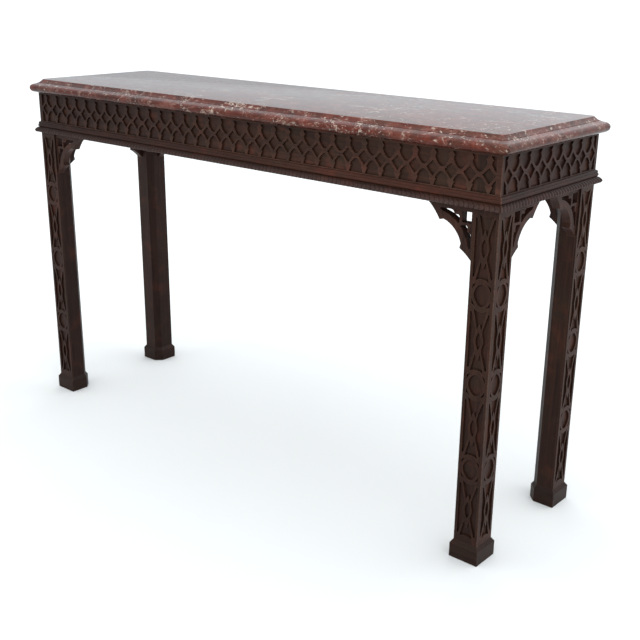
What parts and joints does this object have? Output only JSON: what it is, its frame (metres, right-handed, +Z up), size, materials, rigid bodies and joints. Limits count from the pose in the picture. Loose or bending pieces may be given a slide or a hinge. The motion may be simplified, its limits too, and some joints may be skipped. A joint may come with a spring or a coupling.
{
  "type": "pier table",
  "caption": "Marble-topped pier table with blind-fret legs and frieze, a gadrooned moulding and pierced corner brackets.",
  "frame": {"origin": "on the floor at the middle of the table's footprint", "axes": "+X along the table's length to the right seen from the front, +Y to the back, +Z up"},
  "size_m": [1.409, 0.401, 0.85],
  "materials": {
    "marble": "polished red-brown marble with pale veins",
    "mahogany": "dark stained mahogany, worn wax polish",
    "carved_mahogany": "dark stained carved and fret-cut mahogany, edges rubbed lighter",
    "secondary_wood": "stained secondary timber, waxed",
    "screw_steel": "plain steel wood screws",
    "pin_brass": "brass panel pins"
  },
  "bodies": {
    "root": {"bead_moulding_back": "carved_mahogany", "bead_moulding_front": "carved_mahogany", "bead_moulding_left": "carved_mahogany", "bead_moulding_right": "carved_mahogany", "bracket_back_left_back": "carved_mahogany", "bracket_back_left_end": "carved_mahogany", "bracket_back_right_back": "carved_mahogany", "bracket_back_right_end": "carved_mahogany", "bracket_front_left_end": "carved_mahogany", "bracket_front_left_front": "carved_mahogany", "bracket_front_right_end": "carved_mahogany", "bracket_front_right_front": "carved_mahogany", "bracket_pins": "pin_brass", "corner_block_back_left": "secondary_wood", "corner_block_back_right": "secondary_wood", "corner_block_front_left": "secondary_wood", "corner_block_front_right": "secondary_wood", "corner_block_screws": "screw_steel", "cross_bearer_1": "secondary_wood", "cross_bearer_2": "secondary_wood", "cross_bearer_3": "secondary_wood", "foot_back_left": "mahogany", "foot_back_right": "mahogany", "foot_front_left": "mahogany", "foot_front_right": "mahogany", "frieze_fret_front": "carved_mahogany", "frieze_fret_left": "carved_mahogany", "frieze_fret_right": "carved_mahogany", "gadroon_moulding_back": "carved_mahogany", "gadroon_moulding_front": "carved_mahogany", "gadroon_moulding_left": "carved_mahogany", "gadroon_moulding_right": "carved_mahogany", "leg_back_left": "mahogany", "leg_back_right": "mahogany", "leg_fret_back_left_outer": "carved_mahogany", "leg_fret_back_right_outer": "carved_mahogany", "leg_fret_front_left_front": "carved_mahogany", "leg_fret_front_left_outer": "carved_mahogany", "leg_fret_front_right_front": "carved_mahogany", "leg_fret_front_right_outer": "carved_mahogany", "leg_front_left": "mahogany", "leg_front_right": "mahogany", "marble_top": "marble", "rail_back": "secondary_wood", "rail_front": "secondary_wood", "rail_left": "secondary_wood", "rail_right": "secondary_wood"}
  },
  "joints": []
}
